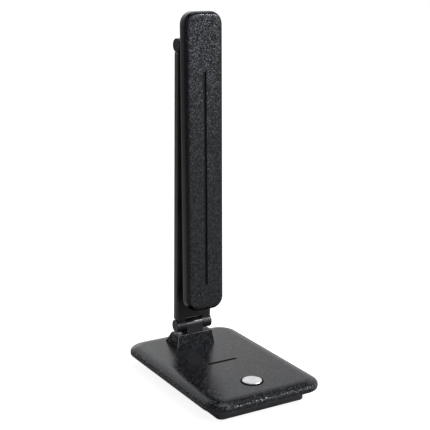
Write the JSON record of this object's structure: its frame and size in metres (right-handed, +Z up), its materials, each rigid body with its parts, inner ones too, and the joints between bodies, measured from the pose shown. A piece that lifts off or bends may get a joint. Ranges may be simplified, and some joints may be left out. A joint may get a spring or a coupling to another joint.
{
  "type": "folding desk lamp",
  "caption": "Folding desk lamp: a flat weighted base with rounded corners and a round push button, a slim hinged arm and a long flat hinged light head.",
  "frame": {"origin": "on the table, under the middle of the base", "axes": "+X along both hinge axes, -Y towards the button at the front, +Z up"},
  "size_m": [0.122, 0.1824, 0.3562],
  "materials": {
    "leather": "fine grained, black, satin",
    "plastic": "dark grey, satin",
    "gloss": "black, glossy",
    "hinge_metal": "dark grey, semi-gloss",
    "hinge_aluminium": "dark anodised",
    "silver": "satin",
    "steel": "plain",
    "weight": "raw",
    "rubber": "matt",
    "circuit_board": "green solder mask",
    "led_carrier": "white coated",
    "opal": "opal, satin",
    "led": "pale yellow phosphor"
  },
  "bodies": {
    "base": {"base_cover": "leather", "base_tray": "plastic", "rubber_feet": "rubber", "case_screws": "steel", "counterweight": "weight", "weight_screws": "steel", "main_board": "circuit_board", "board_components": "gloss", "board_screws": "steel", "push_switch": "gloss", "power_board": "circuit_board", "power_inlet": "steel", "base_lead": "rubber", "button_ring": "gloss", "pedestal_cover": "leather", "hinge_block": "hinge_metal", "hinge_block_screws": "steel"},
    "button": {"button_cap": "silver", "switch_plunger": "steel"},
    "arm": {"arm_frame": "plastic", "arm_front_panel": "plastic", "arm_stiffening_bar": "steel", "arm_lead": "rubber", "arm_lower_fork": "hinge_aluminium", "arm_upper_fork": "hinge_aluminium", "fork_screws": "steel", "lower_hinge_shaft": "steel", "lower_hinge_washers": "rubber", "lower_hinge_caps": "hinge_metal", "upper_hinge_shaft": "steel", "upper_hinge_washers": "rubber", "upper_hinge_caps": "hinge_metal"},
    "head": {"head_cover": "leather", "head_frame": "plastic", "head_diffuser": "opal", "led_board": "led_carrier", "leds": "led", "head_hinge_lug": "hinge_metal", "hinge_lug_screws": "steel", "head_screws": "steel"}
  },
  "joints": [
    {"name": "arm_tilt", "type": "hinge", "parent": "base", "child": "arm", "pos_m": [0, 0.0567, 0.0434], "axis": [1, 0, 0], "range_deg": [-46.5, 72.5]},
    {"name": "head_tilt", "type": "hinge", "parent": "arm", "child": "head", "pos_m": [0, 0.04933, 0.3247], "axis": [-1, 0, 0], "range_deg": [-2, 150]},
    {"name": "button_press", "type": "slide", "parent": "base", "child": "button", "axis": [0, 0, -1], "range_m": [0, 0.0005], "stiffness_N_per_m": 800, "springref_m": -0.0005}
  ]
}
